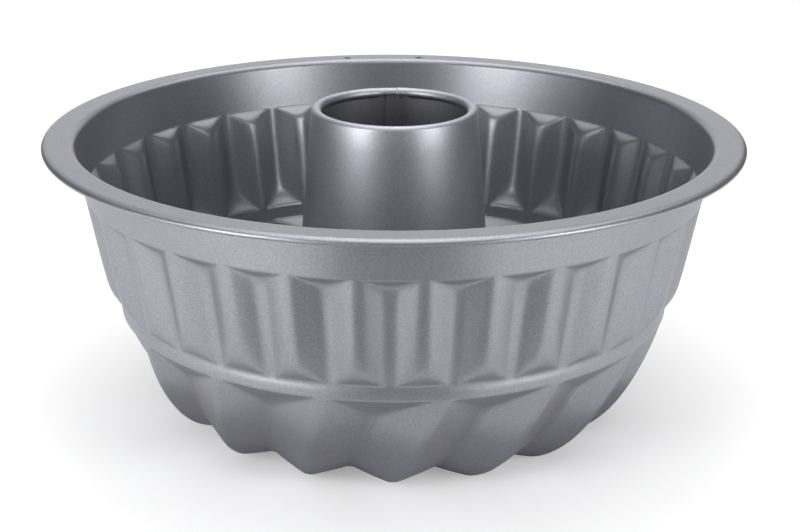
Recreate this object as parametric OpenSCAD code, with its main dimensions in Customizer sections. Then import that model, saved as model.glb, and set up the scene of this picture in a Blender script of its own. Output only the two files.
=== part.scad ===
// Fluted tube pan: a deep-drawn sheet shell and a rolled centre tube hooked into its floor.
// The origin is the centre of the ring that the pan stands on, with the rim upwards.

/* [Sheet] */
// Thickness of the coated steel sheet
sheet_t = 0.6; // [0.5:0.05:0.9]
// Gap left between the sheets in the floor seam
seam_gap = 0.1; // [0.05:0.05:0.2]

/* [Rim] */
// Height of the rim above the table
pan_h = 102.5; // [98:0.5:110]
// Outer diameter of the rim
rim_d = 244; // [240:1:256]
// Width of the flange, from the edge of the rim in to where the wall would meet the rim's plane
flange_w = 10.9; // [10.5:0.1:13.5]
// Bend radius under the flange, where it turns down into the wall
mouth_bend_r = 1.5; // [1:0.1:2.5]
// Outer diameter of the rolled edge of the rim
curl_d = 2.7; // [2.2:0.1:4]
// Diameter of the two hanging holes
hang_hole_d = 3; // [2:0.1:4]
// Distance between the centres of the hanging holes
hang_hole_gap = 29.5; // [20:0.5:40]
// Distance from the edge of the rim in to the centres of the hanging holes
hang_hole_inset = 7.2; // [6:0.1:7.4]

/* [Fluted wall] */
// Depth of the smooth collar, from the rim down to the flutes
collar_h = 17.4; // [12:0.2:24]
// Taper of the wall from the vertical, in degrees
wall_taper = 10.4; // [8:0.2:13]
// Number of upright flutes
flute_count = 32; // [24:4:40]
// Height of the fluted band, down to the bead
flute_h = 38.5; // [30:0.5:44]
// Depth of a flute
flute_depth = 3.9; // [2:0.1:5]
// Width of the narrow land on each ridge and in each trough
flute_land_w = 3; // [2:0.1:5]
// Height of the slanting top of each trough
flute_top_h = 2.6; // [1.5:0.1:5]
// Height of the slanting end of each ridge
ridge_end_h = 5.6; // [3:0.1:8]
// Angle from the middle of the front to the trough above a lobe's crest
flute_turn = 8.4; // [5:0.05:12]

/* [Bead] */
// Height of the band between the flutes and the swirl
bead_h = 4.9; // [3:0.1:8]
// How far the middle of the band stands proud
bead_crown = 0.45; // [0:0.05:1]

/* [Swirl] */
// Diameter of the ring on which the lobes stand
foot_ring_d = 131.8; // [124:0.2:140]
// How far the round crests would reach below the small flats that they stand on
foot_flat_h = 0.2; // [0.1:0.05:0.3]
// Depth of the valleys between the lobes
swirl_depth = 4.6; // [3:0.1:6]
// Length down the wall of the slanting triangle at the head of each valley
swirl_head_l = 9.6; // [6:0.2:14]
// Angle by which a lobe's crest stands back from the middle of the trough above it
swirl_lag = 0.9; // [0:0.1:2]
// Angle through which a lobe turns from the band to the foot ring
swirl_twist = 11.9; // [6:0.1:18]
// Angle through which a lobe goes on turning from the foot ring to the tube
floor_twist = 9; // [0:0.5:14]
// Angle of the lobes' crests to the vertical at the band
shoulder_angle = 16; // [12:0.5:20]
// Length of the crest that keeps this angle
shoulder_l = 16.6; // [12:0.2:20]
// Length of the crest that runs level at the foot ring
foot_l = 17; // [10:0.5:20]

/* [Floor and seam] */
// Height of the floor where it turns down around the tube
floor_h = 12; // [10:0.5:16]
// Slope of the floor there, in degrees
floor_slope = 34; // [25:1:40]
// Length of the floor that keeps this slope
floor_rise_l = 8; // [5:0.5:10]
// Length of the floor that runs level inside the foot ring
floor_run_l = 12; // [8:0.5:14]
// Bend radius under the floor where it turns down
floor_bend_r = 0.8; // [0.6:0.1:1.2]
// Length of the shell's neck inside the hooked seam
neck_l = 3.2; // [2.5:0.1:4]
// Height of the outer leg of the tube's hook
hook_l = 2.2; // [1.5:0.1:2.5]

/* [Centre tube] */
// Outer diameter of the tube just under its rolled lip
tube_top_d = 58.7; // [54:0.1:62]
// Outer diameter of the tube at the floor
tube_base_d = 74.8; // [72:0.1:78]
// Height of the top of the rolled lip above the table
tube_h = 110.8; // [104:0.2:120]
// Outer diameter of the rolled lip's section
lip_d = 3.7; // [3:0.1:5]
// Width of the lapped seam up the inside of the tube
lap_w = 4.5; // [3:0.1:6]
// Width of the notch in the lip's free edge at the seam
notch_w = 16; // [12:0.5:20]
// Depth of that notch
notch_h = 1.1; // [0.6:0.1:1.5]
// Angle of the seam from the middle of the back
lap_turn = 0; // [-20:1:20]

/* [Hidden] */

coat = [0.52, 0.52, 0.55];
tube_coat = [0.57, 0.57, 0.60];
round_fn = 128;
arc_fn = 32;
front = -90;
back = 90;
cut_over = sheet_t;

// Radius of the outside of the plain wall at a height, carried on down as the ridges' crests
mouth_r = rim_d / 2 - flange_w;
wall_skew_t = sheet_t / cos(wall_taper);
function wall_r(z) = mouth_r + wall_skew_t - (pan_h - z) * tan(wall_taper);

// Heights down the wall
collar_z = pan_h - collar_h;
bead_z = collar_z - flute_h;
ridge_end_z = bead_z + ridge_end_h;
swirl_z = bead_z - bead_h;
bead_r = wall_r(bead_z) - flute_depth;
swirl_r = bead_r;

// The tube's own slanted frame: x out of the tube, y up along its outer face from the floor
lip_r = lip_d / 2;
lip_z = tube_h - lip_r;
tube_lean = atan((tube_base_d - tube_top_d) / 2 / (lip_z - floor_h));
tube_l = (lip_z - floor_h + lip_r * sin(tube_lean)) / cos(tube_lean);
function on_tube(x, y) = [
    tube_base_d / 2 + x * cos(tube_lean) - y * sin(tube_lean),
    floor_h + x * sin(tube_lean) + y * cos(tube_lean)];

// Bend of the floor into the neck, whose upper face lies seam_gap off the tube
fold_r = floor_bend_r + sheet_t;
fold_y = -fold_r / cos(tube_lean);
fold_c = on_tube(seam_gap + fold_r, fold_y);
neck_end_y = fold_y - neck_l;
hook_r = seam_gap + sheet_t / 2;

// Outline of a lobe's crest, seen from the side: two cubic curves that meet at the foot ring
foot_r = foot_ring_d / 2;
band_point = [swirl_r, swirl_z];
foot_point = [foot_r, -foot_flat_h];
fold_out = [cos(90 - floor_slope), sin(90 - floor_slope)];
fold_point = fold_c + floor_bend_r * fold_out;
down_wall = [-sin(shoulder_angle), -cos(shoulder_angle)];
along_floor = [cos(floor_slope), -sin(floor_slope)];
crest_curve = [band_point, band_point + shoulder_l * down_wall, foot_point + [foot_l, 0], foot_point];
floor_curve = [foot_point, foot_point - [floor_run_l, 0], fold_point + floor_rise_l * along_floor, fold_point];

function cubic(c, u) = pow(1 - u, 3) * c[0] + 3 * pow(1 - u, 2) * u * c[1]
    + 3 * (1 - u) * u * u * c[2] + pow(u, 3) * c[3];
function cubic_way(c, u) = pow(1 - u, 2) * (c[1] - c[0]) + 2 * (1 - u) * u * (c[2] - c[1])
    + u * u * (c[3] - c[2]);
// Unit vector from the outer face into the sheet, for a face run through from rim to tube
function into_sheet(way) = [way[1], -way[0]] / norm(way);

// One repeat of the pattern is two flutes and one lobe: eight columns of points.
// A lobe's crest starts under a trough, and its valley under the next trough.
repeat_count = flute_count / 2;
flute_pitch = 360 / flute_count;
land = flute_land_w / bead_r * 90 / PI;
column_angles = [
    -land, land, flute_pitch / 2 - land, flute_pitch / 2 + land,
    flute_pitch - land, flute_pitch + land, flute_pitch * 3 / 2 - land, flute_pitch * 3 / 2 + land];
trough_shares = [1, 1, 0, 0, 1, 1, 0, 0];
function off_crest(a) = min(a, 2 * flute_pitch - a);
valley_shares = [for (a = column_angles)
    max(0, min(1, (off_crest(abs(a)) - land) / (flute_pitch - 2 * land)))];

// Outer face of the fluted band at a height, at a column that is this much of a trough
top_slope = flute_depth / flute_top_h;
end_slope = (wall_r(ridge_end_z) - bead_r) / ridge_end_h;
function flute_r(z, share) = min(
    wall_r(z) - min(flute_depth * share, top_slope * (collar_z - z)),
    bead_r + end_slope * (z - bead_z));

// The flutes' top ring is set this deep into the collar's two faces, and stays inside them
// although its flats run straight from column to column
collar_seat = 0.05;
seat_top_z = collar_z + 2 * sheet_t;
flat_half = max(land, flute_pitch / 4 - land);

// Each ring is [points of the outer face, points of the inner face, turn], one per column
level_skew = [-wall_skew_t, 0];
function seat_ring(z) = [
    [for (s = trough_shares) [wall_r(z) - collar_seat, z]],
    [for (s = trough_shares) [(wall_r(z) - wall_skew_t + collar_seat) / cos(flat_half), z]], 0];
function flute_ring(z) = [
    [for (s = trough_shares) [flute_r(z, s), z]],
    [for (s = trough_shares) [flute_r(z, s), z] + level_skew], 0];
function bead_ring(z, proud, turn) = [
    [for (s = trough_shares) [bead_r + proud, z]],
    [for (s = trough_shares) [bead_r + proud, z] + level_skew], turn];
function on_table(p) = [p[0], max(p[1], 0)];
function curve_ring(c, u, depth, head, turn) =
    let (way = into_sheet(cubic_way(c, u)), p = cubic(c, u))
    let (outer = [for (s = valley_shares) on_table(p + min(depth * s, head) * way)])
    [outer, [for (q = outer) q + sheet_t * way], turn];
function fold_ring(a) = [
    [for (s = valley_shares) fold_c + floor_bend_r * [cos(a), sin(a)]],
    [for (s = valley_shares) fold_c + fold_r * [cos(a), sin(a)]], full_turn];

head_slope = swirl_depth / swirl_head_l;
full_turn = swirl_lag + swirl_twist + floor_twist;
crest_shares = [0.07, 0.15, 0.24, 0.36, 0.5, 0.65, 0.8, 0.96];
floor_shares = [0.07, 0.4, 0.72, 1];
fold_shares = [0.33, 0.67, 1];
fold_from = 90 - floor_slope;
fold_to = 180 + tube_lean;

rings = concat(
    [seat_ring(seat_top_z), seat_ring(collar_z)],
    [flute_ring(collar_z - flute_top_h), flute_ring(ridge_end_z)],
    [bead_ring(bead_z, 0, 0), bead_ring(bead_z - bead_h / 2, bead_crown, swirl_lag / 2),
     bead_ring(swirl_z, 0, swirl_lag)],
    [for (u = crest_shares) curve_ring(crest_curve, u, swirl_depth,
        head_slope * norm(cubic(crest_curve, u) - band_point), swirl_lag + swirl_twist * u)],
    [for (u = floor_shares) curve_ring(floor_curve, u, swirl_depth * (1 - u),
        swirl_depth, swirl_lag + swirl_twist + floor_twist * u)],
    [for (s = fold_shares) fold_ring(fold_from + (fold_to - fold_from) * s)],
    [[[for (s = valley_shares) on_tube(seam_gap + sheet_t, neck_end_y)],
      [for (s = valley_shares) on_tube(seam_gap, neck_end_y)], full_turn]]);

// Points of one face: 0 is the outer face and 1 the inner one
function turned(p, a) = [p[0] * cos(a), p[0] * sin(a), p[1]];
function face_points(side) = [for (ring = rings, k = [0 : repeat_count - 1], j = [0 : 7])
    turned(ring[side][j], front + flute_turn + column_angles[j] + 2 * flute_pitch * k - ring[2])];

columns = 8 * repeat_count;
ring_count = len(rings);
function at(side, i, j) = (side * ring_count + i) * columns + j % columns;
function band_faces(a, b, c, d) = [[a, b, c], [a, c, d]];
last = ring_count - 1;

// Fluted wall, bead, swirl, floor and neck, drawn from one sheet
module fluted_wall() {
    quads = concat(
        [for (i = [0 : last - 1], j = [0 : columns - 1])
            band_faces(at(0, i, j), at(0, i, j + 1), at(0, i + 1, j + 1), at(0, i + 1, j))],
        [for (i = [0 : last - 1], j = [0 : columns - 1])
            band_faces(at(1, i, j + 1), at(1, i, j), at(1, i + 1, j), at(1, i + 1, j + 1))],
        [for (j = [0 : columns - 1])
            band_faces(at(0, 0, j + 1), at(0, 0, j), at(1, 0, j), at(1, 0, j + 1))],
        [for (j = [0 : columns - 1])
            band_faces(at(0, last, j), at(0, last, j + 1), at(1, last, j + 1), at(1, last, j))]);
    polyhedron(concat(face_points(0), face_points(1)), [for (q = quads, f = q) f], convexity = 6);
}

// Section of a sheet bent round a centre, from one angle to another
module bend(inner_r, from, to) {
    reach = 2 * (inner_r + sheet_t);
    steps = [0 : 0.25 : 1];
    intersection() {
        difference() {
            circle(r = inner_r + sheet_t, $fn = arc_fn);
            circle(r = inner_r, $fn = arc_fn);
        }
        polygon(concat([[0, 0]], [for (s = steps) reach * [cos(from + (to - from) * s), sin(from + (to - from) * s)]]));
    }
}

// Section of the rim: smooth collar, bend, flange and rolled edge
module rim_section() {
    bend_out_r = mouth_bend_r + sheet_t;
    bend_z = pan_h - bend_out_r;
    bend_x = wall_r(bend_z) + mouth_bend_r / cos(wall_taper);
    curl_r = curl_d / 2;
    curl_x = rim_d / 2 - curl_r;
    tangent = [-cos(wall_taper), sin(wall_taper)];
    bend_c = [bend_x, bend_z];
    polygon([
        [wall_r(collar_z), collar_z], bend_c + mouth_bend_r * tangent,
        bend_c + bend_out_r * tangent, [wall_r(collar_z) - wall_skew_t, collar_z]]);
    translate(bend_c) bend(mouth_bend_r, 90, 180 - wall_taper);
    translate([bend_x, pan_h - sheet_t]) square([curl_x - bend_x, sheet_t]);
    translate([curl_x, pan_h - curl_r]) bend(curl_r - sheet_t, -180, 90);
}

module pan_shell() {
    hole_r = rim_d / 2 - hang_hole_inset;
    hole_turn = asin(hang_hole_gap / 2 / hole_r);
    color(coat) {
        difference() {
            rotate_extrude($fn = round_fn) rim_section();
            for (side = [-1, 1]) rotate([0, 0, back + side * hole_turn])
                translate([hole_r, 0, pan_h - sheet_t - cut_over])
                    cylinder(d = hang_hole_d, h = sheet_t + 2 * cut_over, $fn = arc_fn);
        }
        fluted_wall();
    }
}

// Section of the tube in its slanted frame: hook, wall and inward-rolled lip
module tube_section() {
    hook_c = [seam_gap + sheet_t / 2, neck_end_y];
    translate(on_tube(0, 0)) rotate([0, 0, tube_lean]) {
        difference() {
            union() {
                translate([-sheet_t, neck_end_y]) square([sheet_t, tube_l - neck_end_y]);
                translate([-lip_r, tube_l]) circle(r = lip_r, $fn = arc_fn);
            }
            translate([-lip_r, tube_l]) circle(r = lip_r - sheet_t, $fn = arc_fn);
            translate([-lip_r, tube_l - lip_r - cut_over]) square([lip_r - sheet_t, lip_r + cut_over]);
        }
        translate(hook_c) bend(hook_r, -180, 0);
        translate(hook_c + [hook_r, 0]) square([sheet_t, hook_l]);
    }
}

// Section of the second layer of sheet where the tube's two edges lap, joined half way into the first
module lap_section() {
    translate(on_tube(0, 0)) rotate([0, 0, tube_lean])
        translate([-2 * sheet_t, neck_end_y]) square([1.5 * sheet_t, tube_l - neck_end_y - lip_r]);
}

module centre_tube() {
    notch_r = tube_top_d / 2 - lip_r + sheet_t;
    color(tube_coat) {
        difference() {
            rotate_extrude($fn = round_fn) tube_section();
            rotate([0, 0, back + lap_turn]) translate([0, 0, lip_z - lip_r]) intersection() {
                translate([0, -notch_w / 2, -cut_over])
                    cube([tube_top_d, notch_w, cut_over + notch_h]);
                translate([0, 0, -cut_over]) cylinder(r = notch_r, h = 2 * cut_over + notch_h, $fn = round_fn);
            }
        }
        intersection() {
            rotate_extrude($fn = round_fn) lap_section();
            rotate([0, 0, back + lap_turn]) translate([0, -lap_w / 2, 0]) cube([tube_base_d, lap_w, tube_h]);
        }
    }
}

pan_shell();
centre_tube();
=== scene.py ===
"""Fluted tube pan: a drawn steel shell with a rolled centre tube, coated satin grey,
on a pale studio floor."""

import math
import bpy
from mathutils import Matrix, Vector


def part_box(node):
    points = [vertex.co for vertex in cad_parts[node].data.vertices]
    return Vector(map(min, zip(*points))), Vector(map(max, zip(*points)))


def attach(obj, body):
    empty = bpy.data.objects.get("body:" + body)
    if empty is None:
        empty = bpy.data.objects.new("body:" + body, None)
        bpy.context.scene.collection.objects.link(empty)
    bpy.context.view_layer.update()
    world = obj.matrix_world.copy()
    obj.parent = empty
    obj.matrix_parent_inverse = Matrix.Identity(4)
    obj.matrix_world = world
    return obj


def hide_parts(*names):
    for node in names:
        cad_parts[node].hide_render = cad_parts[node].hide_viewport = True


bl_info = {
    "name": "Fluted tube pan",
    "version": (1, 0, 0),
    "blender": (4, 5, 0),
    "location": "3D View > Sidebar > Tube Pan",
    "description": "Builds the drawn shell and the rolled centre tube of a ring cake pan, "
                   "with its coating and a studio",
    "category": "Add Mesh",
}

from types import SimpleNamespace

import bpy
import numpy as np
from bpy.props import FloatProperty, FloatVectorProperty, IntProperty, PointerProperty
from mathutils import Matrix

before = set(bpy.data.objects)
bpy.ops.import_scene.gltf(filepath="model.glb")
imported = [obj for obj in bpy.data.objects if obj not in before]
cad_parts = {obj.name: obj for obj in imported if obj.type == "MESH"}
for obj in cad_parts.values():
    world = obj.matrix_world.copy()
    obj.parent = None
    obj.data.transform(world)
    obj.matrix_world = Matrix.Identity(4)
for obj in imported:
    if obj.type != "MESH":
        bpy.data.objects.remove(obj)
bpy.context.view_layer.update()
shell_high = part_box("pan_shell")[1]
tube_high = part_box("centre_tube")[1]

MM = 0.001
FRONT = -math.pi / 2
BACK = math.pi / 2

# Height above the flutes at which the rim's mesh meets the flutes' mesh
JOINT_H = 4.0 * MM

# Roundness of the pressed creases. The soft widths of the wall's planes are shares of edge_w. Those
# of the folds are shares of a slanting side, first at its trough or crest and then at its ridge or
# valley. The powers are those of blend_min.
HEAD_TOP_SOFT = 1.3
RIDGE_FACE_SOFT = 0.3
RIDGE_END_SOFT = 1.2
FLUTE_SOFT = (0.20, 0.22)
LOBE_SOFT = (0.05, 0.03)
HEAD_POWER = 3.2
RIDGE_POWER = 3.6
VALLEY_POWER = 9.0

# Flat of the flange between a hole and the next ring of points
HOLE_CLEAR = 0.3 * MM

# Half the stretch of the flange that the faces round a hole take up, and their steps for each of
# the grid's own
HOLE_REACH = 2.2 * MM
HOLE_SPLIT = 3

# Steps of the shell's grid down its lower half band, lobes, floor, bend and neck
LOWER_BAND_STEPS = 5
CREST_STEPS = 48
FLOOR_STEPS = 28
BEND_STEPS = 8
NECK_STEPS = 3

# Columns round the tube, apart from those at its lap
TUBE_COLUMNS = 320


# Sizes and looks that a user may change

def length(name, default, description):
    """A size in metres."""
    return FloatProperty(name=name, description=description, default=default, min=0.0,
                         precision=5, unit="LENGTH")


def angle(name, degrees, description):
    """An angle, given here in degrees and kept in radians."""
    return FloatProperty(name=name, description=description, default=math.radians(degrees),
                         subtype="ANGLE")


def share(name, default, description):
    """A number between 0 and 1."""
    return FloatProperty(name=name, description=description, default=default, min=0.0, max=1.0,
                         subtype="FACTOR")


def colour(name, default, description):
    """A linear colour."""
    return FloatVectorProperty(name=name, description=description, default=default, size=3,
                               min=0.0, max=1.0, subtype="COLOR")


class ShellSizes(bpy.types.PropertyGroup):
    """Sizes of the drawn shell."""
    sheet_t: length("Sheet", 0.6 * MM, "Thickness of the coated steel sheet")
    seam_gap: length("Seam gap", 0.1 * MM, "Gap between the sheets in the floor seam")
    pan_h: length("Height", shell_high.z, "Height of the rim above the table")
    rim_r: length("Rim radius", shell_high.x, "Outer radius of the rim")
    mouth_r: length("Mouth radius", 111.1 * MM, "Inner radius at the mouth")
    mouth_bend_r: length("Mouth bend", 2.0 * MM, "Bend radius under the flange")
    curl_r: length("Rolled edge", 1.3 * MM, "Half the height of the rolled edge's oval section")
    curl_w: length("Rolled edge width", 2.6 * MM, "Half the width of that section")
    hole_r: length("Hanging hole", 1.5 * MM, "Radius of the hanging holes")
    hole_gap: length("Hole spacing", 29.5 * MM, "Distance between the holes' centres")
    hole_inset: length("Hole inset", 7.2 * MM, "Distance from the rim's edge to the holes' centres")
    collar_h: length("Collar", 17.4 * MM, "Depth of the smooth collar above the flutes")
    wall_taper: angle("Taper", 10.4, "Lean of the wall from the vertical")
    flute_count: IntProperty(name="Flutes", description="Number of upright flutes", default=32,
                             min=8, max=64)
    flute_h: length("Flute height", 38.5 * MM, "Height of the fluted band")
    flute_depth: length("Flute depth", 3.9 * MM, "Depth of a trough below the ridges")
    land_w: length("Land", 3.0 * MM, "Width of the land on a ridge and in a trough")
    flute_top_h: length("Trough head", 3.2 * MM, "Height of the slanting head of a trough")
    ridge_end_h: length("Ridge end", 5.6 * MM, "Height of the slanting end of a ridge")
    flute_turn: angle("Flute turn", 8.4, "Angle from the front to the trough above a crest")
    bead_h: length("Band height", 4.9 * MM, "Height of the band between the flutes and the swirl")
    bead_crown: length("Band crown", 0.2 * MM, "How far the middle of the band stands proud")
    foot_ring_r: length("Foot ring", 65.9 * MM, "Radius of the ring on which the lobes stand")
    foot_flat_h: length("Foot flat", 0.2 * MM, "How far the crests would reach below their flats")
    swirl_depth: length("Swirl depth", 4.6 * MM, "Depth of the valleys between the lobes")
    swirl_head_l: length("Valley head", 9.6 * MM, "Length of the slanting head of a valley")
    swirl_lag: angle("Swirl lag", 0.9, "Angle of a lobe's crest behind the trough above it")
    swirl_twist: angle("Swirl twist", 11.9, "Turn of a lobe from the band to the foot ring")
    floor_twist: angle("Floor twist", 9.0, "Turn of a lobe from the foot ring to the tube")
    shoulder_angle: angle("Shoulder", 16.0, "Lean of the lobes' crests at the band")
    shoulder_l: length("Shoulder length", 16.6 * MM, "Length of the crest that keeps this lean")
    foot_l: length("Foot length", 17.0 * MM, "Length of the crest that runs level at the ring")
    floor_h: length("Floor height", 12.0 * MM, "Height of the floor where it turns down")
    floor_slope: angle("Floor slope", 34.0, "Slope of the floor there")
    floor_rise_l: length("Floor rise", 8.0 * MM, "Length of the floor that keeps it")
    floor_run_l: length("Floor run", 12.0 * MM, "Length of the floor that runs level in the ring")
    floor_bend_r: length("Floor bend", 0.8 * MM, "Bend radius under the floor at the tube")
    neck_l: length("Neck", 3.2 * MM, "Length of the neck inside the seam")
    edge_w: length("Crease width", 0.7 * MM, "Width over which the pressed creases are rounded")


class TubeSizes(bpy.types.PropertyGroup):
    """Sizes of the rolled centre tube."""
    top_r: length("Top radius", 29.35 * MM, "Outer radius under the lip")
    base_r: length("Base radius", 37.4 * MM, "Outer radius at the floor")
    tube_h: length("Height", tube_high.z, "Height of the top of the lip above the table")
    lip_r: length("Lip", 1.85 * MM, "Outer radius of the rolled lip's section")
    hook_l: length("Hook", 2.2 * MM, "Height of the outer leg of the hook")
    lap_w: length("Lap", 4.5 * MM, "Width of the lapped seam")
    notch_w: length("Notch", 16.0 * MM, "Width of the notch in the lip at the seam")
    notch_h: length("Notch depth", 1.6 * MM, "Depth of that notch")


class CoatLook(bpy.types.PropertyGroup):
    """Look of the coating."""
    tone: colour("Coating", (0.30, 0.302, 0.336), "Colour of the coating")
    fleck_tone: colour("Flecks", (0.445, 0.448, 0.495), "Colour of the coating's bright flecks")
    roughness: share("Roughness", 0.37, "Roughness of the shell's coating")
    tube_roughness: share("Tube roughness", 0.47, "Roughness of the tube's coating")
    tube_metallic: share("Tube metallic", 1.0, "How metallic the tube's coating looks")
    # Painted light: the tube's coating is made lighter by this factor, standing in for brighter
    # light on the tube than the lamps give it.
    tube_painted_lightness: FloatProperty(name="Tube lightness", default=1.45, min=0.0,
                              description="How much lighter the tube's coating is")
    metallic: share("Metallic", 0.85, "How metallic the coating looks")
    fleck_size: length("Fleck size", 0.45 * MM, "Size of the flecks")


class StudioLook(bpy.types.PropertyGroup):
    """Look of the floor, the cards of painted shade that only reflections see, and the sky."""
    floor_tone: colour("Floor", (0.84, 0.84, 0.84), "Colour of the floor")
    floor_lift: share("Floor lift", 0.32, "White added to what the camera sees of the floor")
    mirror_lift: share("Mirrored lift", 0.16, "White added to what reflections see of the floor")
    sky: share("Sky", 0.13, "Strength of the even light from all round")
    # Painted shade: the cards' tones stand in for the floor's shade that reflections see under the
    # pan, in front of it and under the tube's bore.
    under_shade_tone: colour("Card", (0.60, 0.60, 0.60), "Colour of the round card under the pan")
    under_shade_r: length("Card radius", 0.102, "Radius of that card")
    front_shade_tone: colour("Wedge", (0.33, 0.33, 0.33), "Colour of the wedge in front of the pan")
    front_shade_w: length("Wedge width", 0.44, "Width of the wedge's far edge")
    hole_shade_tone: colour("Hole card", (0.04, 0.04, 0.04), "Colour of the disc under the tube")
    hole_shade_r: length("Hole card radius", 36.0 * MM, "Radius of that disc")


GROUPS = {"pan_sizes": ShellSizes, "pan_tube": TubeSizes, "pan_coat": CoatLook,
          "pan_studio": StudioLook}


# Curves and soft corners

def soft_over(x, w):
    """x where it is above 0 and 0 elsewhere, with the corner rounded by a parabola from -w to w."""
    return np.where(x > w, x, np.maximum(x + w, 0.0) ** 2 / (4.0 * w))


def blend_min(a, b, power):
    """The lesser of two lengths: a b / (a^n + b^n)^(1/n). It is 0 where either is 0, and the corner
    is rounder for a lower power n."""
    a, b = np.broadcast_arrays(a, b)
    top = np.maximum(np.maximum(a, b), 1e-12)
    whole = np.maximum((a / top) ** power + (b / top) ** power, 1.0)
    return a * b / (top * whole ** (1.0 / power))


def fold_wave(x, land, low_w, high_w):
    """Pressed zigzag of period 2 in x: 0 at even x and 1 at odd x, level over a half-land on each
    side of both, straight between, and with the corner at 0 rounded over low_w and the one at 1
    over high_w."""
    y = (np.abs((x + 1.0) % 2.0 - 1.0) - land) / (1.0 - 2.0 * land)
    return soft_over(1.0 - soft_over(1.0 - y, high_w), low_w)


def cubic(c, u):
    """Points of the cubic curve with the four control points c, at the values u."""
    u = np.asarray(u)[:, None]
    return ((1 - u) ** 3 * c[0] + 3 * (1 - u) ** 2 * u * c[1]
            + 3 * (1 - u) * u * u * c[2] + u ** 3 * c[3])


def cubic_way(c, u):
    """Direction of that curve: its derivative divided by 3."""
    u = np.asarray(u)[:, None]
    return ((1 - u) ** 2 * (c[1] - c[0]) + 2 * (1 - u) * u * (c[2] - c[1])
            + u * u * (c[3] - c[2]))


def along(c, n):
    """n + 1 curve values that cut the cubic curve into steps of equal length, measured as the sum
    of many short chords."""
    u = np.linspace(0.0, 1.0, 400)
    chords = np.linalg.norm(np.diff(cubic(c, u), axis=0), axis=1)
    way = np.concatenate([[0.0], np.cumsum(chords)])
    return np.interp(np.linspace(0.0, way[-1], n + 1), way, u)


def run(start, *legs):
    """Values from start through each leg's end, with each leg cut into that many equal steps."""
    out = [start]
    for end, n in legs:
        out.extend(np.linspace(out[-1], end, n + 1)[1:])
    return np.array(out)


# Meshes from arrays

def put_in_scene(piece):
    """Links an object to the scene."""
    bpy.context.scene.collection.objects.link(piece)
    return piece


class Skin:
    """Gathers points, faces and a normal for each face corner, and makes one mesh of them."""

    def __init__(self):
        self.points, self.corners, self.normals, self.sizes = [], [], [], []
        self.count = 0

    def add_points(self, points):
        """Adds points, and gives the number of the first."""
        points = np.asarray(points, float).reshape(-1, 3)
        self.points.append(points)
        self.count += len(points)
        return self.count - len(points)

    def add_faces(self, corners, normals):
        """Adds faces with as many corners each, as rows of point numbers, and their normals."""
        corners = np.asarray(corners)
        self.corners.append(corners.reshape(-1))
        self.normals.append(np.broadcast_to(normals, corners.shape + (3,)).reshape(-1, 3))
        self.sizes.append(np.full(len(corners), corners.shape[1]))

    def build(self, name, slot, node):
        """Makes the mesh and its object, with the slot's coating, in place of the CAD node."""
        corners, sizes = np.concatenate(self.corners), np.concatenate(self.sizes)
        starts = np.concatenate([[0], np.cumsum(sizes)[:-1]])
        mesh = bpy.data.meshes.new(name)
        mesh.vertices.add(self.count)
        mesh.vertices.foreach_set("co", np.concatenate(self.points).astype(np.float32).ravel())
        mesh.loops.add(len(corners))
        mesh.loops.foreach_set("vertex_index", corners.astype(np.int32))
        mesh.polygons.add(len(sizes))
        mesh.polygons.foreach_set("loop_start", starts.astype(np.int32))
        mesh.polygons.foreach_set("use_smooth", np.ones(len(sizes), bool))
        mesh.update(calc_edges=True)
        mesh.normals_split_custom_set(np.concatenate(self.normals))
        mesh.materials.append(coat_material(slot))
        old = bpy.data.objects.get(name)
        if old:
            bpy.data.objects.remove(old)
        piece = put_in_scene(bpy.data.objects.new(name, mesh))
        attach(piece, "root")
        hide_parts(node)
        return piece


def unit(v):
    """Vectors divided by their lengths."""
    return v / np.maximum(np.linalg.norm(v, axis=-1, keepdims=True), 1e-12)


def round_grid_normals(p, a):
    """Normals of a grid (rows, columns, 3) that closes round its columns, which stand at the angles
    a: the slope down the rows crossed with the slope round the columns. Both are the slopes of the
    parabola through a point and its two neighbours, so uneven steps don't tilt them."""
    ahead = (np.roll(a, -1) - a) % (2 * math.pi)
    behind = np.roll(ahead, 1)
    ahead, behind = ahead[None, :, None], behind[None, :, None]
    across = (behind ** 2 * np.roll(p, -1, 1) + (ahead ** 2 - behind ** 2) * p
              - ahead ** 2 * np.roll(p, 1, 1))
    steps = np.linalg.norm(np.diff(p, axis=0), axis=2).mean(axis=1)
    way = np.concatenate([[0.0], np.cumsum(np.maximum(steps, 1e-9))])
    return unit(np.cross(np.gradient(p, way, axis=0), across))


def quads(first, rows, columns, turned=False):
    """Corner numbers of the faces between the rows of a grid that closes round its columns."""
    i, j = np.meshgrid(np.arange(rows - 1), np.arange(columns), indexing="ij")
    k = (j + 1) % columns
    here, below = i * columns, (i + 1) * columns
    q = np.stack([here + j, below + j, below + k, here + k], -1).reshape(-1, 4)
    return first + (q[:, ::-1] if turned else q)


def add_grid(skin, points, normals, turned=False):
    """Puts a grid that closes round its columns into a mesh, with its own normals."""
    rows, columns = points.shape[:2]
    first = skin.add_points(points)
    q = quads(0, rows, columns, turned)
    skin.add_faces(first + q, normals.reshape(-1, 3)[q])
    return first


def add_cap(skin, near, far, columns, normals):
    """Closes the edge between two rings of points, which start at near and far, with one normal
    for each column."""
    j = np.arange(columns)
    k = (j + 1) % columns
    q = np.stack([near + j, far + j, far + k, near + k], -1)
    skin.add_faces(q, np.stack([normals[j], normals[j], normals[k], normals[k]], 1))


def sheet_band(skin, outer, normals, sheet_t):
    """A band of sheet, closed at both ends: the given outer face, and an inner face one sheet_t
    behind it."""
    rows, columns = outer.shape[:2]
    inner = outer - sheet_t * normals
    a = add_grid(skin, outer, normals)
    b = add_grid(skin, inner, -normals, turned=True)
    start, end = unit(outer[0] - outer[1]), unit(outer[-1] - outer[-2])
    add_cap(skin, b, a, columns, start)
    last = (rows - 1) * columns
    add_cap(skin, a + last, b + last, columns, end)


# Form of the shell

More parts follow.
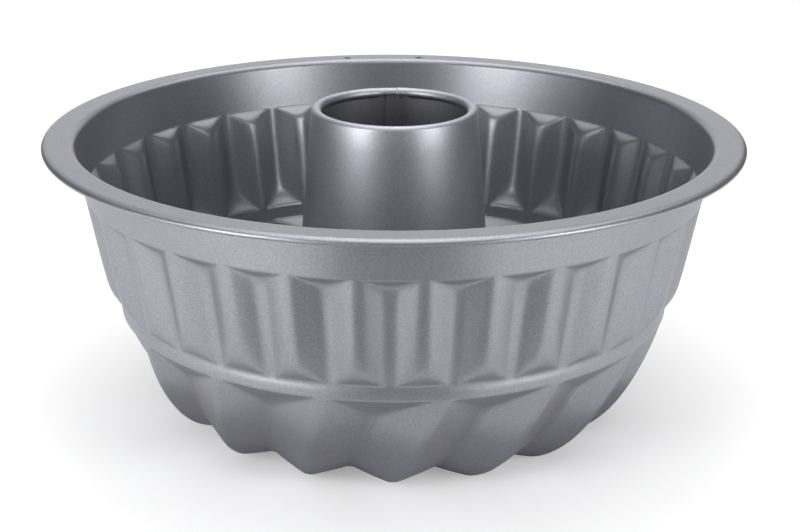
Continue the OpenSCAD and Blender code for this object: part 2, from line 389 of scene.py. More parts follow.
def shell_plan(s, t):
    """Heights, radii and curves that follow from the sizes. Pairs are a radius and a height."""
    p = SimpleNamespace()
    p.tan_taper = math.tan(s.wall_taper)
    p.skew_t = s.sheet_t / math.cos(s.wall_taper)
    p.wall_r = lambda z: s.mouth_r + p.skew_t - (s.pan_h - z) * p.tan_taper
    p.collar_z = s.pan_h - s.collar_h
    p.joint_z = p.collar_z + JOINT_H
    p.bead_z = p.collar_z - s.flute_h
    p.ridge_end_z = p.bead_z + s.ridge_end_h
    p.swirl_z = p.bead_z - s.bead_h
    p.bead_r = p.wall_r(p.bead_z) - s.flute_depth
    p.pitch = 2.0 * math.pi / s.flute_count
    p.land = s.land_w / p.bead_r / p.pitch
    tube_frame(p, s, t)
    fold_r = s.floor_bend_r + s.sheet_t
    fold_y = -fold_r / math.cos(p.lean)
    p.fold_c = p.on_tube(s.seam_gap + fold_r, fold_y)
    p.neck_top_y, p.neck_end_y = fold_y, fold_y - s.neck_l
    band, foot = np.array([p.bead_r, p.swirl_z]), np.array([s.foot_ring_r, -s.foot_flat_h])
    slope, lean = s.floor_slope, s.shoulder_angle
    down_wall = np.array([-math.sin(lean), -math.cos(lean)])
    along_floor = np.array([math.cos(slope), -math.sin(slope)])
    fold = p.fold_c + s.floor_bend_r * np.array([math.sin(slope), math.cos(slope)])
    p.crest = np.array([band, band + s.shoulder_l * down_wall, foot + [s.foot_l, 0.0], foot])
    p.floor = np.array([foot, foot - [s.floor_run_l, 0.0], fold + s.floor_rise_l * along_floor,
                        fold])
    return p


def tube_frame(p, s, t):
    """The tube's own slanted frame: x out of the tube and y up along its outer face from the
    floor's height."""
    lip_z = t.tube_h - t.lip_r
    p.lean = math.atan((t.base_r - t.top_r) / (lip_z - s.floor_h))
    p.tube_l = (lip_z - s.floor_h + t.lip_r * math.sin(p.lean)) / math.cos(p.lean)
    out = np.array([math.cos(p.lean), math.sin(p.lean)])
    up = np.array([-math.sin(p.lean), math.cos(p.lean)])
    base = np.array([t.base_r, s.floor_h])
    p.on_tube = lambda x, y: base + np.multiply.outer(x, out) + np.multiply.outer(y, up)


def wall_face(p, s, z, trough):
    """Radius of the outer face of the fluted wall. It is a cone, less a dent that is the lesser of
    the flute's depth and a plane that slants in from the collar's edge, and it stands above the
    band by no more than a plane that slants out from the band's edge. The band is crowned by the
    square of a parabola."""
    head = soft_over(s.flute_depth / s.flute_top_h * (p.collar_z - z), HEAD_TOP_SOFT * s.edge_w)
    dent = blend_min(s.flute_depth * trough, head, HEAD_POWER)
    face = soft_over(p.wall_r(z) - dent - p.bead_r, RIDGE_FACE_SOFT * s.edge_w)
    end_slope = (p.wall_r(p.ridge_end_z) - p.bead_r) / s.ridge_end_h
    end = soft_over(end_slope * (z - p.bead_z), RIDGE_END_SOFT * s.edge_w)
    across = (z - p.bead_z + s.bead_h / 2) / (s.bead_h / 2)
    crown = s.bead_crown * np.maximum(1.0 - across ** 2, 0.0) ** 2
    return p.bead_r + blend_min(face, end, RIDGE_POWER) + crown


def wall_rows(p, s):
    """Heights of the wall's rows from the rim's joint to the swirl, closer together at the creases.
    Each leg gives where it ends and its number of steps."""
    near_crease, head_rows, ridge_rows, band_rows = 0.9 * MM, 5.5 * MM, 3.0 * MM, 0.5 * MM
    return run(p.joint_z,
               (p.collar_z + near_crease, 2), (p.collar_z - near_crease, 8),
               (p.collar_z - head_rows, 10), (p.ridge_end_z + ridge_rows, 5),
               (p.bead_z + near_crease, 15), (p.bead_z - band_rows, 6),
               (p.bead_z - s.bead_h / 2, 4), (p.swirl_z, LOWER_BAND_STEPS))


def shell_columns(p, s):
    """Angles of the grid's columns, closer together at the creases. They start at a trough above a
    lobe's crest, and the shares run from there to the next ridge."""
    half_shares = np.array([0.0, 0.05, 0.10, 0.15, 0.20, 0.26, 0.33, 0.5,
                            0.67, 0.74, 0.80, 0.85, 0.90, 0.95])
    pair = np.concatenate([half_shares, 2.0 - np.append(half_shares[1:], 1.0)[::-1]])
    return (np.arange(s.flute_count)[:, None] + pair[None, :] / 2.0).ravel() * p.pitch


def pressed(curve, u, dent, flat_h):
    """Radii and heights of a cubic curve's points, moved into the pan by the dent at right angles
    to the curve. What would lie below the table is cut off, with a soft corner of flat_h."""
    centre, way = cubic(curve, u), unit(cubic_way(curve, u))
    return centre[:, :1] + dent * way[:, 1:], soft_over(centre[:, 1:] - dent * way[:, :1], flat_h)


def shell_face(p, s):
    """Outer face of the shell from the collar to the end of the neck, as a grid (rows, columns, 3),
    with the numbers of the rows where its pieces meet. Down the swirl and the floor the face is a
    cubic curve, moved into the pan by the lesser of the valley's depth and a plane that slants in
    from the band, and each row is turned a little further round than the one above it."""
    a = shell_columns(p, s)
    x = a / p.pitch * 2.0
    trough = 1.0 - fold_wave(x, p.land, *FLUTE_SOFT)
    valley = fold_wave(x / 2.0, p.land / 2.0, *LOBE_SOFT)[None, :]
    foot_turn = s.swirl_lag + s.swirl_twist
    z = wall_rows(p, s)
    radius = wall_face(p, s, z[:, None], trough[None, :])
    turn = s.swirl_lag * np.clip((p.bead_z - z) / s.bead_h, 0.0, 1.0)
    wall = radius, np.broadcast_to(z[:, None], radius.shape), turn

    u = along(p.crest, CREST_STEPS)[1:]
    down = np.linalg.norm(cubic(p.crest, u) - p.crest[0], axis=1)
    head = s.swirl_depth / s.swirl_head_l * down
    dent = blend_min(s.swirl_depth * valley, head[:, None], VALLEY_POWER)
    swirl = *pressed(p.crest, u, dent, s.foot_flat_h), s.swirl_lag + s.swirl_twist * u

    u = along(p.floor, FLOOR_STEPS)[1:]
    dent = s.swirl_depth * (1.0 - u)[:, None] * valley
    floor = *pressed(p.floor, u, dent, s.foot_flat_h), foot_turn + s.floor_twist * u

    bend = np.linspace(math.pi / 2 - s.floor_slope, math.pi + p.lean, BEND_STEPS + 1)[1:]
    neck_y = np.linspace(p.neck_top_y, p.neck_end_y, NECK_STEPS + 1)[1:]
    pairs = np.concatenate([
        p.fold_c + s.floor_bend_r * np.stack([np.cos(bend), np.sin(bend)], -1),
        p.on_tube(s.seam_gap + s.sheet_t, neck_y)])
    neck = (*np.repeat(pairs.T[:, :, None], len(a), axis=2),
            np.full(len(pairs), foot_turn + s.floor_twist))

    r, heights, turn = [np.concatenate(parts) for parts in zip(wall, swirl, floor, neck)]
    around = FRONT + s.flute_turn + a[None, :] - turn[:, None]
    wall_end = len(z) - 1
    meet = [0, wall_end - LOWER_BAND_STEPS, wall_end + CREST_STEPS, len(r) - 1]
    return np.stack([r * np.cos(around), r * np.sin(around), heights], -1), meet


def shell_piece(name, number):
    """Makes one of the three bands that the lower shell is kept in: flutes, swirl and floor."""
    s, t = bpy.context.scene.pan_sizes, bpy.context.scene.pan_tube
    p = shell_plan(s, t)
    outer, meet = shell_face(p, s)
    normals = round_grid_normals(outer, shell_columns(p, s))
    rows = slice(meet[number], meet[number + 1] + 1)
    skin = Skin()
    sheet_band(skin, outer[rows], normals[rows], s.sheet_t)
    return skin.build(name, "shell_coating", "pan_shell")


class Outline:
    """A closed outline of straight and round stretches, run against the clock round the sheet, with
    the normal at both ends of each step."""

    def __init__(self):
        self.points, self.normals = [], []

    def line(self, *points):
        """Straight steps through the points. The last one is left to the next stretch."""
        for a, b in zip(points, points[1:]):
            way = unit(np.subtract(b, a))
            self.points.append(np.asarray(a, float))
            self.normals.append(np.tile([way[1], -way[0]], (2, 1)))

    def arc(self, centre, radius, start, end, steps, wide=None):
        """Steps round a centre, on a circle or on an ellipse of the half-width wide. The normals
        point away from the centre where the arc runs against the clock."""
        a = np.linspace(start, end, steps + 1)
        rays = np.stack([np.cos(a), np.sin(a)], -1)
        radii = np.array([wide or radius, radius])
        out = unit(rays / radii) * (1.0 if end > start else -1.0)
        self.points.extend(np.asarray(centre) + radii * rays[:-1])
        self.normals.extend(np.stack([out[:-1], out[1:]], 1))


def rim_outline(p, s):
    """Closed section of the rim: up the collar's outside, out under the flange, round inside the
    rolled edge and back over its outside, in along the flange and down the collar's inside. Also
    gives the first of the two steps of each flange face that hold the holes."""
    out_r = s.mouth_bend_r + s.sheet_t
    bend_z = s.pan_h - out_r
    bend = np.array([p.wall_r(bend_z) + s.mouth_bend_r / math.cos(s.wall_taper), bend_z])
    curl = np.array([s.rim_r - s.curl_w, s.pan_h - s.curl_r])
    curl_in = s.curl_r - s.sheet_t
    side, up = math.pi - s.wall_taper, math.pi / 2
    wall = np.array([math.cos(side), math.sin(side)])
    hole = s.rim_r - s.hole_inset
    past_hole = hole + s.hole_r + HOLE_CLEAR
    radii = [bend[0], hole, past_hole, (past_hole + curl[0]) / 2, curl[0]]
    outer = np.array([p.wall_r(p.joint_z), p.joint_z])
    inner = outer + s.sheet_t * wall
    o = Outline()
    o.line(outer, bend + s.mouth_bend_r * wall)
    o.arc(bend, s.mouth_bend_r, side, up, steps=10)
    low = len(o.points)
    o.line(*[(r, s.pan_h - s.sheet_t) for r in radii])
    o.arc(curl, curl_in, up, -up, steps=18, wide=s.curl_w - s.sheet_t)
    o.line(curl - [0.0, curl_in], curl - [0.0, s.curl_r])
    o.arc(curl, s.curl_r, -up, up, steps=30, wide=s.curl_w)
    high = len(o.points) + len(radii) - 3
    o.line(*[(r, s.pan_h) for r in radii[::-1]])
    o.arc(bend, out_r, up, side, steps=12)
    o.line(bend + out_r * wall, inner, outer)
    return np.array(o.points), np.array(o.normals), low, high


def revolved(points, a):
    """Points of a section, as radius and height, carried round the angles a."""
    around = np.stack([np.cos(a), np.sin(a)], -1)
    flat = points[:, None, :1] * around[None]
    return np.concatenate([flat, np.repeat(points[:, None, 1:], len(a), axis=1)], -1)


def hole_edge(skin, ring, centre, s, z, face):
    """Fills the gap between a ring of the flange's points and a round hole. The hole's points stand
    at the ring's own angles about the centre, with more between them. Gives the number of the first
    one and all the angles."""
    where = np.concatenate(skin.points)[ring]
    about = np.unwrap(np.arctan2(where[:, 1] - centre[1], where[:, 0] - centre[0]))
    about = np.append(about, about[0] + math.copysign(2 * math.pi, about[-1] - about[0]))
    steps, k = HOLE_SPLIT, np.arange(len(ring))
    fine = np.interp(np.arange(steps * len(ring)) / steps, np.arange(len(about)), about)
    n = len(fine)
    start = skin.add_points(np.stack([centre[0] + s.hole_r * np.cos(fine),
                                      centre[1] + s.hole_r * np.sin(fine), np.full(n, z)], -1))
    fan = [ring, np.roll(ring, -1)] + [start + (steps * k + i) % n for i in range(steps, -1, -1)]
    skin.add_faces(np.stack(fan, -1), np.array([0.0, 0.0, face]))
    return start, fine


def hole_wall(skin, under, fine, over, back):
    """Faces between a hole's two edges, which run opposite ways, with normals into the hole."""
    n = len(fine)
    k = np.arange(n)
    k2 = (k + 1) % n
    match = (np.argmin(np.abs(np.angle(np.exp(1j * (back - fine[0]))))) - k) % n
    rays = -np.stack([np.cos(fine), np.sin(fine), np.zeros(n)], -1)
    skin.add_faces(np.stack([under + k, under + k2, over + match[k2], over + match], -1),
                   np.stack([rays, rays[k2], rays[k2], rays], 1))


def rim_piece():
    """Makes the flange, its rolled edge and the upper collar, with the two hanging holes: the
    rim's section carried round the pan, less a patch of cells on both faces round each hole."""
    s, t = bpy.context.scene.pan_sizes, bpy.context.scene.pan_tube
    p = shell_plan(s, t)
    a = FRONT + s.flute_turn + shell_columns(p, s)
    points, normals, low, high = rim_outline(p, s)
    rows, columns = len(points), len(a)
    skin = Skin()
    skin.add_points(revolved(points, a))
    turned = revolved(normals.reshape(-1, 2), a).reshape(rows, 2, columns, 3)
    i, j = np.meshgrid(np.arange(rows), np.arange(columns), indexing="ij")
    i2, j2 = (i + 1) % rows, (j + 1) % columns
    cells = np.stack([i * columns + j, i * columns + j2, i2 * columns + j2, i2 * columns + j], -1)
    cell_normals = np.stack([turned[i, 0, j], turned[i, 0, j2], turned[i, 1, j2],
                             turned[i, 1, j]], 2)
    keep = np.ones((rows, columns), bool)

    hole_ring = s.rim_r - s.hole_inset
    for side in (-1, 1):
        turn = BACK + side * math.asin(s.hole_gap / 2 / hole_ring)
        centre = hole_ring * np.array([math.cos(turn), math.sin(turn)])
        first, last = [int(np.argmin(np.abs(a - turn + way * HOLE_REACH / hole_ring)))
                       for way in (1, -1)]
        js = np.arange(first, last + 1)
        edges = []
        for row, z, face in ((low, s.pan_h - s.sheet_t, -1.0), (high, s.pan_h, 1.0)):
            keep[row:row + 2, first:last] = False
            ring = np.concatenate([row * columns + js, [(row + 1) * columns + last],
                                   (row + 2) * columns + js[::-1], [(row + 1) * columns + first]])
            edges.extend(hole_edge(skin, ring, centre, s, z, face))
        hole_wall(skin, *edges)
    keep = keep.ravel()
    skin.add_faces(cells.reshape(-1, 4)[keep], cell_normals.reshape(-1, 4, 3)[keep])
    return skin.build("pan_rim", "shell_coating", "pan_shell")


def rise(x, width):
    """0 where x is below 0, 1 where it is above the width, and straight between."""
    return np.clip(x / width, 0.0, 1.0)


def tube_piece():
    """Makes the rolled centre tube. Its section runs up the hook's leg, round the hook, up the
    outside and over the lip, and back down the inside. Round the tube the section changes only at
    the seam: the inner layer of the lap stands one sheet in, with a steep edge on one side and a
    slow one on the other, the outside has a faint step over the lap, and the lip's free edge is cut
    back over the notch."""
    s, t = bpy.context.scene.pan_sizes, bpy.context.scene.pan_tube
    p = shell_plan(s, t)
    lap = t.lap_w / 2 / t.top_r
    crowd, crowd_columns = 1.4 * MM / t.top_r, 22
    fine = np.concatenate([e + np.linspace(-crowd, crowd, crowd_columns) for e in (-lap, lap)])
    even = np.linspace(0, 2 * math.pi, TUBE_COLUMNS + 1)[:-1]
    a = np.unique(np.round(np.concatenate([even, fine % (2 * math.pi)]), 6))
    off = (a + math.pi) % (2 * math.pi) - math.pi

    # Widths round the tube, measured under the lip
    edge_w, slow_edge_w = 0.18 * MM, 2.0 * MM
    lapped = (rise((lap - off) * t.top_r, edge_w)
              * rise((off + lap) * t.top_r + slow_edge_w, slow_edge_w))
    step_h, step_w = 0.12 * MM, 0.15 * MM
    step = (step_h * rise((off + lap) * t.top_r + step_w / 2, step_w)
            * rise(3.0 * lap - off, lap))
    notch_shift, notch_slope_w, notch_soft = 0.8 * MM, 3.0 * MM, 0.25
    inside_notch = t.notch_w / 2 - np.abs(off * t.top_r + notch_shift)
    cut = soft_over(np.clip(inside_notch / notch_slope_w, -1.0, 1.0), notch_soft)
    end_full = 1.5 * math.pi
    end_cut = math.pi + math.asin((t.lip_r - t.notch_h) / t.lip_r)
    end = end_full + (end_cut - end_full) * np.clip(cut, 0.0, 1.0)

    lip = np.array([-t.lip_r, p.tube_l])
    hook_r = s.seam_gap + s.sheet_t / 2
    hook = np.array([hook_r, p.neck_end_y])
    hook_end_y, hook_half_y = p.neck_end_y + t.hook_l, p.neck_end_y + t.hook_l / 2
    ones = np.ones_like(a)

    def ring(x, y):
        """Points round the tube, from places in its slanted frame."""
        pair = p.on_tube(x * ones, y * ones)
        around = a + BACK
        return np.stack([pair[:, 0] * np.cos(around), pair[:, 0] * np.sin(around), pair[:, 1]], -1)

    def bow(centre, radius, start, stop, steps, skip=0):
        """Rings on an arc round a centre."""
        return [ring(centre[0] + radius * np.cos(v), centre[1] + radius * np.sin(v))
                for v in [start + (stop - start) * k / steps for k in range(skip, steps + 1)]]

    wall_steps, wall_l = 14, p.tube_l - p.neck_end_y
    outside = [ring(2 * hook_r, y) for y in (hook_end_y, hook_half_y)]
    outside += bow(hook, hook_r, 0.0, -math.pi, steps=10)
    outside += [ring(-step, p.neck_end_y + wall_l * k / wall_steps) for k in range(1, wall_steps)]
    outside += bow(lip, t.lip_r - step, 0.0, end, steps=26)

    inside_r, lip_steps, lap_end = t.lip_r - s.sheet_t, 20, 0.45 * math.pi
    inside = []
    for k in range(lip_steps + 1):
        v = end * (1.0 - k / lip_steps)
        sunk = s.sheet_t * lapped * rise(lap_end - v, lap_end)
        inside.append(ring(lip[0] + inside_r * np.cos(v) - sunk, lip[1] + inside_r * np.sin(v)))
    under_lip = p.tube_l - 1.2 * t.lip_r
    inside += [ring(-s.sheet_t * (1.0 + lapped), y)
               for y in run(p.tube_l, (under_lip, 6), (p.neck_end_y, wall_steps))[1:]]
    inside += bow(hook, hook_r + s.sheet_t, -math.pi, 0.0, steps=12, skip=1)
    inside += [ring(2 * hook_r + s.sheet_t, y) for y in (hook_half_y, hook_end_y)]

    outside, inside, columns = np.array(outside), np.array(inside), len(a)
    skin = Skin()
    first = add_grid(skin, outside, -round_grid_normals(outside, a), turned=True)
    second = add_grid(skin, inside, -round_grid_normals(inside, a), turned=True)
    lip_edge, hook_edge = unit(outside[-1] - outside[-2]), unit(outside[0] - outside[1])
    add_cap(skin, second, first + (len(outside) - 1) * columns, columns, lip_edge)
    add_cap(skin, first, second + (len(inside) - 1) * columns, columns, hook_edge)
    return skin.build("tube_body", "tube_coating", "centre_tube")


# Coating

def new_group(name, inputs, outputs):
    """An empty shader node group with these named sockets."""
    group = bpy.data.node_groups.new(name, "ShaderNodeTree")
    for label, kind, default in inputs:
        socket = group.interface.new_socket(name=label, in_out="INPUT", socket_type=kind)
        if default is not None:
            socket.default_value = default
    for label, kind in outputs:
        group.interface.new_socket(name=label, in_out="OUTPUT", socket_type=kind)
    return group, group.nodes.new("NodeGroupInput"), group.nodes.new("NodeGroupOutput")


def new_material(name):
    """A material with nodes: the material, its nodes and its link function."""
    material = bpy.data.materials.new(name)
    material.use_nodes = True
    return material, material.node_tree.nodes, material.node_tree.links.new


def new_node(nodes, kind, inputs=None, **settings):
    """A shader node with these settings, and with these values on its own sockets."""
    node = nodes.new("ShaderNode" + kind)
    for name, value in settings.items():
        setattr(node, name, value)
    for socket, value in (inputs or {}).items():
        node.inputs[socket].default_value = value
    return node


def coat_grain():
    """Shared group: bright flecks in a matt coating, and the fine orange peel of a sprayed and
    baked finish."""
    found = bpy.data.node_groups.get("coat_grain")
    if found:
        return found
    group, start, end = new_group("coat_grain", [
        ("Vector", "NodeSocketVector", None), ("Fleck Scale", "NodeSocketFloat", 2000.0),
        ("Base", "NodeSocketColor", (0.3, 0.3, 0.32, 1.0)),
        ("Fleck", "NodeSocketColor", (0.5, 0.5, 0.55, 1.0)),
        ("Roughness", "NodeSocketFloat", 0.36)],
        [("Color", "NodeSocketColor"), ("Roughness", "NodeSocketFloat"),
         ("Height", "NodeSocketFloat")])
    nodes, link = group.nodes, group.links.new
    fleck = new_node(nodes, "TexNoise", {"Detail": 2.0, "Roughness": 0.7})
    link(start.outputs["Vector"], fleck.inputs["Vector"])
    link(start.outputs["Fleck Scale"], fleck.inputs["Scale"])
    mask = new_node(nodes, "MapRange", {"From Min": 0.42, "From Max": 0.78})
    link(fleck.outputs["Fac"], mask.inputs["Value"])
    cloud = new_node(nodes, "TexNoise", {"Scale": 28.0, "Detail": 3.0})
    link(start.outputs["Vector"], cloud.inputs["Vector"])
    mottle = new_node(nodes, "MapRange",
                      {"From Min": 0.3, "From Max": 0.7, "To Min": 0.96, "To Max": 1.04})
    link(cloud.outputs["Fac"], mottle.inputs["Value"])
    mix = new_node(nodes, "Mix", data_type="RGBA")
    link(mask.outputs["Result"], mix.inputs["Factor"])
    link(start.outputs["Base"], mix.inputs["A"])
    link(start.outputs["Fleck"], mix.inputs["B"])
    shade = new_node(nodes, "VectorMath", operation="SCALE")
    link(mix.outputs["Result"], shade.inputs["Vector"])
    link(mottle.outputs["Result"], shade.inputs["Scale"])
    link(shade.outputs["Vector"], end.inputs["Color"])
    rough = new_node(nodes, "Math", operation="MULTIPLY")
    link(start.outputs["Roughness"], rough.inputs[0])
    link(mottle.outputs["Result"], rough.inputs[1])
    link(rough.outputs["Value"], end.inputs["Roughness"])
    link(fleck.outputs["Fac"], end.inputs["Height"])
    return group


def coat_material(slot):
    """Satin coating on steel, with the shared grain. The shell and the tube have one each, for the
    record's slots, and the tube's is painted lighter by its own factor, which stands in for
    brighter light on the tube."""
    found = bpy.data.materials.get("satin_" + slot)
    if found:
        return found
    look = bpy.context.scene.pan_coat
    tube = slot == "tube_coating"
    # Painted light: the tube's colours are scaled up to stand in for brighter light on it.
    painted_lightness = look.tube_painted_lightness if tube else 1.0
    material, nodes, link = new_material("satin_" + slot)
    shader = nodes["Principled BSDF"]
    shader.inputs["Metallic"].default_value = look.tube_metallic if tube else look.metallic
    shader.inputs["Specular IOR Level"].default_value = 0.5
    grain = nodes.new("ShaderNodeGroup")
    grain.node_tree = coat_grain()
    grain.inputs["Fleck Scale"].default_value = 1.0 / look.fleck_size
    grain.inputs["Base"].default_value = (*[painted_lightness * v for v in look.tone], 1.0)
    grain.inputs["Fleck"].default_value = (*[painted_lightness * v for v in look.fleck_tone], 1.0)
    grain.inputs["Roughness"].default_value = look.tube_roughness if tube else look.roughness
    link(nodes.new("ShaderNodeTexCoord").outputs["Object"], grain.inputs["Vector"])
    link(grain.outputs["Color"], shader.inputs["Base Color"])
    link(grain.outputs["Roughness"], shader.inputs["Roughness"])
    peel = new_node(nodes, "Bump", {"Strength": 0.15, "Distance": 0.05 * MM})
    link(grain.outputs["Height"], peel.inputs["Height"])
    link(peel.outputs["Normal"], shader.inputs["Normal"])
    return material


# Stage

LAMPS = [
    # name, azimuth from the front towards the right and height in degrees, distance, width, height
    # of the lamp in metres, radiance
    ("lamp_top", 0.0, 88.0, 1.6, 1.3, 1.1, 1.15),
    ("lamp_front_high", 0.0, 58.0, 1.6, 0.7, 0.6, 1.2),
    ("lamp_back_high", 180.0, 75.0, 1.6, 0.7, 0.6, 2.1),
    ("lamp_back", 180.0, 54.0, 1.6, 0.7, 0.6, 2.4),
    ("lamp_back_low", 180.0, 15.0, 1.6, 1.6, 0.85, 0.85),
    ("lamp_back_left", -140.0, 55.0, 1.6, 0.7, 0.6, 1.05),
    ("lamp_back_right", 140.0, 53.0, 1.6, 0.7, 0.6, 1.7),
    ("lamp_high_left", -75.0, 65.0, 1.6, 0.7, 0.6, 1.3),
    ("lamp_high_right", 77.0, 64.0, 1.6, 0.7, 0.6, 1.4),
    ("lamp_near_left", -47.0, 13.0, 0.6, 0.22, 0.42, 6.8),
    ("lamp_near_right", 47.0, 13.0, 0.6, 0.22, 0.42, 5.7),
    ("lamp_side_left", -70.0, 13.0, 0.6, 0.22, 0.26, 1.0),
]
LAMP_AIM = np.array([0.0, 0.0, 0.05])


def place(piece, right, up, back, where):
    """Turns an object so that its axes are right, up and back, moves it, and puts it in the
    scene."""
    m = Matrix([[*row] for row in np.stack([right, up, back], -1)]).to_4x4()
    m.translation = where
    piece.matrix_world = m
    return put_in_scene(piece)


def lamp(name, azimuth, height, distance, width, depth, radiance):
    """A soft rectangular lamp, aimed at the middle of the pan. Its power is pi times its area times
    its radiance."""
    light = bpy.data.lights.new(name, "AREA")
    light.shape = "RECTANGLE"
    light.size, light.size_y = width, depth
    light.energy = math.pi * width * depth * radiance
    az, el = FRONT + math.radians(azimuth), math.radians(height)
    ray = np.array([math.cos(az) * math.cos(el), math.sin(az) * math.cos(el), math.sin(el)])
    side = unit(np.array([-ray[1], ray[0], 0.0]))
    place(bpy.data.objects.new(name, light), side, np.cross(ray, side), ray,
          ray * distance + LAMP_AIM)


def photo_camera():
    """The camera where the photograph was taken from, solved from the rim, the flutes, the lobes
    and the tube."""
    yaw, pitch, roll = math.radians(2.621), math.radians(19.632), math.radians(0.3453)
    where = np.array([-24.16, -577.32, 257.51]) * MM
    focal_px, frame_px, sensor_mm = 1695.35, 800.0, 36.0
    camera = bpy.data.cameras.new("photo_camera")
    camera.sensor_fit = "HORIZONTAL"
    camera.sensor_width = sensor_mm
    camera.lens = sensor_mm * focal_px / frame_px
    camera.clip_start = 0.01
    ahead = np.array([math.sin(yaw) * math.cos(pitch), math.cos(yaw) * math.cos(pitch),
                      -math.sin(pitch)])
    right = np.array([math.cos(yaw), -math.sin(yaw), 0.0])
    up = np.cross(right, ahead)
    tilted_right = math.cos(roll) * right + math.sin(roll) * up
    tilted_up = math.cos(roll) * up - math.sin(roll) * right
    piece = bpy.data.objects.new("photo_camera", camera)
    bpy.context.scene.camera = place(piece, tilted_right, tilted_up, -ahead, where)


def floor_piece(look):
    """A wide pale floor just under the feet. It keeps the pan's shadow, and a little white is added
    to what the camera and the coating's reflections see of it."""
    half, z = 2.5, -0.02 * MM
    mesh = bpy.data.meshes.new("floor")
    mesh.from_pydata([(x, y, z) for x in (-half, half) for y in (-half, half)], [],
                     [(0, 2, 3, 1)])
    material, nodes, link = new_material("floor_paper")
    nodes.clear()
    matt = new_node(nodes, "BsdfDiffuse", {"Color": (*look.floor_tone, 1.0)})
    path = nodes.new("ShaderNodeLightPath")
    mirrored = new_node(nodes, "Math", {1: look.mirror_lift}, operation="MULTIPLY")
    link(path.outputs["Is Glossy Ray"], mirrored.inputs[0])
    lift = new_node(nodes, "Math", {1: look.floor_lift}, operation="MULTIPLY_ADD")
    link(path.outputs["Is Camera Ray"], lift.inputs[0])
    link(mirrored.outputs["Value"], lift.inputs[2])
    glow = nodes.new("ShaderNodeEmission")
    link(lift.outputs["Value"], glow.inputs["Strength"])
    both = nodes.new("ShaderNodeAddShader")
    link(matt.outputs["BSDF"], both.inputs[0])
    link(glow.outputs["Emission"], both.inputs[1])
    out = nodes.new("ShaderNodeOutputMaterial")
    link(both.outputs["Shader"], out.inputs["Surface"])
    mesh.materials.append(material)
    floor = put_in_scene(bpy.data.objects.new("floor", mesh))


def painted_shade_card(look):
    """Cards of painted shade that darken what the wall reflects: a grey disc under the pan standing
    in for the shade round its foot, a darker wedge in front of it that widens towards the camera,
    outside the photograph's frame, standing in for the pan's shadow there, and a small dark disc
    under the tube's opening standing in for the shade in its bore. Only reflections show them, so
    they leave no mark on the floor."""
    near, far = -0.14, -0.60
    z, layer = 1.0 * MM, 0.2 * MM
    spread = look.front_shade_w / 2 / far
    n = 72
    turn = np.linspace(0.0, 2.0 * math.pi, n + 1)[:-1]
    disc = np.stack([look.under_shade_r * np.cos(turn), look.under_shade_r * np.sin(turn), np.full(n, z)], -1)
    wedge = [(side * spread * y, y, z + layer)
             for side, y in ((1, far), (-1, far), (-1, near), (1, near))]
    shrink = look.hole_shade_r / look.under_shade_r
    hole = disc * (shrink, shrink, 1.0) + (0.0, 0.0, layer)
    mesh = bpy.data.meshes.new("painted_shade_card")
    mesh.from_pydata([*disc.tolist(), *wedge, *hole.tolist()], [],
                     [tuple(range(n)), tuple(range(n, n + 4)), tuple(range(n + 4, 2 * n + 4))])
    # Painted shade: each card's grey stands in for shade on the floor that the wall and the tube
    # would reflect.
    cards = [("painted_shade_card", look.under_shade_tone), ("painted_shade_wedge", look.front_shade_tone),
             ("painted_shade_hole_disc", look.hole_shade_tone)]
    for i, (name, tone) in enumerate(cards):
        material, nodes, _ = new_material(name)
        shader = nodes["Principled BSDF"]
        shader.inputs["Base Color"].default_value = (*tone, 1.0)
        shader.inputs["Roughness"].default_value = 1.0
        shader.inputs["Specular IOR Level"].default_value = 0.0
        mesh.materials.append(material)
        mesh.polygons[i].material_index = i
    card = put_in_scene(bpy.data.objects.new("painted_shade_card", mesh))
    card.visible_camera = card.visible_diffuse = card.visible_shadow = False


def sky(look):
    """An even white sky."""
    world = bpy.data.worlds.new("studio_sky")
    world.use_nodes = True
    background = world.node_tree.nodes["Background"]
    background.inputs["Color"].default_value = (1.0, 1.0, 1.0, 1.0)
    background.inputs["Strength"].default_value = look.sky
    bpy.context.scene.world = world


# Operators and panel

class TUBEPAN_OT_rim(bpy.types.Operator):
    """Make the flange, its rolled edge, the hanging holes and the upper collar"""
    bl_idname = "tube_pan.rim"
    bl_label = "Make Rim"

    def execute(self, context):
        rim_piece()
        return {"FINISHED"}


class TUBEPAN_OT_flutes(bpy.types.Operator):
    """Make the fluted wall, down to the middle of the band"""
    bl_idname = "tube_pan.flutes"
    bl_label = "Make Flutes"

    def execute(self, context):
        shell_piece("pan_flutes", 0)
        return {"FINISHED"}


class TUBEPAN_OT_swirl(bpy.types.Operator):
    """Make the lower half of the band and the swirl of lobes, down to their foot ring"""
    bl_idname = "tube_pan.swirl"
    bl_label = "Make Swirl"

    def execute(self, context):
        shell_piece("pan_swirl", 1)
        return {"FINISHED"}


class TUBEPAN_OT_floor(bpy.types.Operator):
    """Make the floor inside the foot ring, and its neck at the tube"""
    bl_idname = "tube_pan.floor"
    bl_label = "Make Floor"

    def execute(self, context):
        shell_piece("pan_floor", 2)
        return {"FINISHED"}


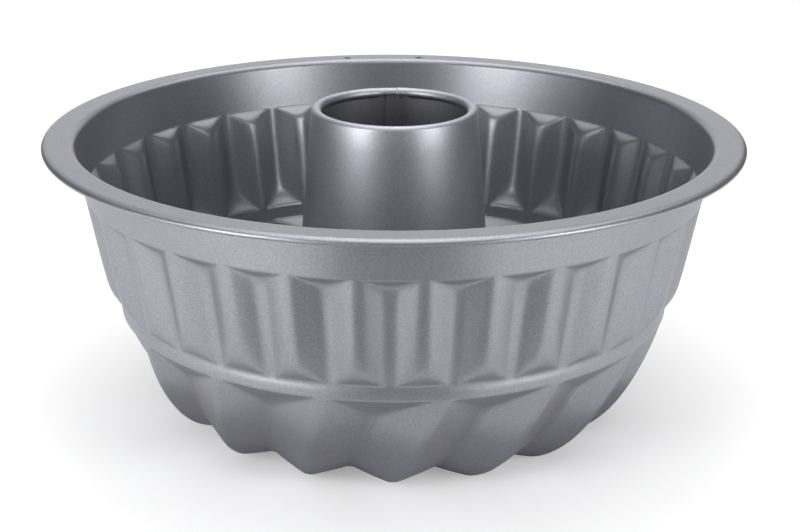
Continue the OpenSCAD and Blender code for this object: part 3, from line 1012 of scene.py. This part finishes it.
class TUBEPAN_OT_tube(bpy.types.Operator):
    """Make the rolled centre tube with its lip, lapped seam and hook"""
    bl_idname = "tube_pan.tube"
    bl_label = "Make Centre Tube"

    def execute(self, context):
        tube_piece()
        return {"FINISHED"}


class TUBEPAN_OT_stage(bpy.types.Operator):
    """Set the camera, the floor, the cards of painted shade, the sky and the lamps"""
    bl_idname = "tube_pan.stage"
    bl_label = "Make Stage"

    def execute(self, context):
        look = context.scene.pan_studio
        photo_camera()
        floor_piece(look)
        painted_shade_card(look)
        sky(look)
        for row in LAMPS:
            lamp(*row)
        context.scene.view_settings.view_transform = "Standard"
        return {"FINISHED"}


OPERATORS = [TUBEPAN_OT_stage, TUBEPAN_OT_rim, TUBEPAN_OT_flutes, TUBEPAN_OT_swirl,
             TUBEPAN_OT_floor, TUBEPAN_OT_tube]


class TUBEPAN_PT_panel(bpy.types.Panel):
    """Sizes, looks and pieces of the tube pan"""
    bl_label = "Tube Pan"
    bl_idname = "TUBEPAN_PT_panel"
    bl_space_type = "VIEW_3D"
    bl_region_type = "UI"
    bl_category = "Tube Pan"

    def draw(self, context):
        for name, group in GROUPS.items():
            box = self.layout.box()
            for field in group.__annotations__:
                box.prop(getattr(context.scene, name), field)
        for operator in OPERATORS:
            self.layout.operator(operator.bl_idname)


def register():
    """Registers the sizes and looks on the scene, the operators and the panel."""
    for group in GROUPS.values():
        bpy.utils.register_class(group)
    for name, group in GROUPS.items():
        setattr(bpy.types.Scene, name, PointerProperty(type=group))
    for cls in [*OPERATORS, TUBEPAN_PT_panel]:
        bpy.utils.register_class(cls)


def unregister():
    """Takes away what register added."""
    for cls in [TUBEPAN_PT_panel, *OPERATORS[::-1]]:
        bpy.utils.unregister_class(cls)
    for name in GROUPS:
        delattr(bpy.types.Scene, name)
    for group in reversed(list(GROUPS.values())):
        bpy.utils.unregister_class(group)


def main():
    register()
    bpy.ops.tube_pan.stage()
    bpy.ops.tube_pan.rim()
    bpy.ops.tube_pan.flutes()
    bpy.ops.tube_pan.swirl()
    bpy.ops.tube_pan.floor()
    bpy.ops.tube_pan.tube()


if __name__ == "__main__":
    main()
